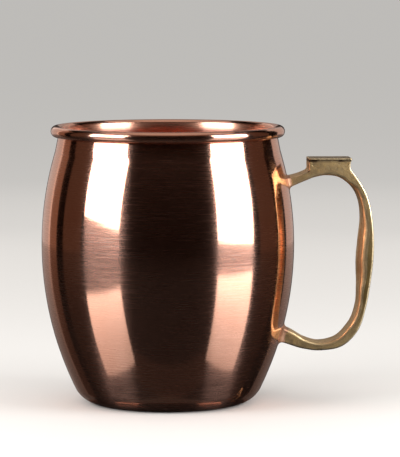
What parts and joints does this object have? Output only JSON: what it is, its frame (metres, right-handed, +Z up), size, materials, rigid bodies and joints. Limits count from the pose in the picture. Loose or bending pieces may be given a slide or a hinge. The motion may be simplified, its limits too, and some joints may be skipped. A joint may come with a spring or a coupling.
{
  "type": "drinking mug",
  "caption": "Barrel-shaped copper mug with a rolled lip and a cast brass handle that has a flat thumb rest.",
  "frame": {"origin": "centre of the bottom, on the plane that the mug stands on", "axes": "+Z up along the cup's axis, +X from the axis towards the handle, +Y across the handle"},
  "size_m": [0.1141, 0.0868, 0.0953],
  "materials": {
    "copper": "polished copper with fine spinning marks",
    "cast_brass": "satin cast brass, brighter along its edges",
    "filler": "smooth copper-coloured braze metal"
  },
  "bodies": {
    "root": {"cup_body": "copper", "handle": "cast_brass", "thumb_plate": "cast_brass", "upper_braze": "filler", "lower_braze": "filler"}
  },
  "joints": []
}
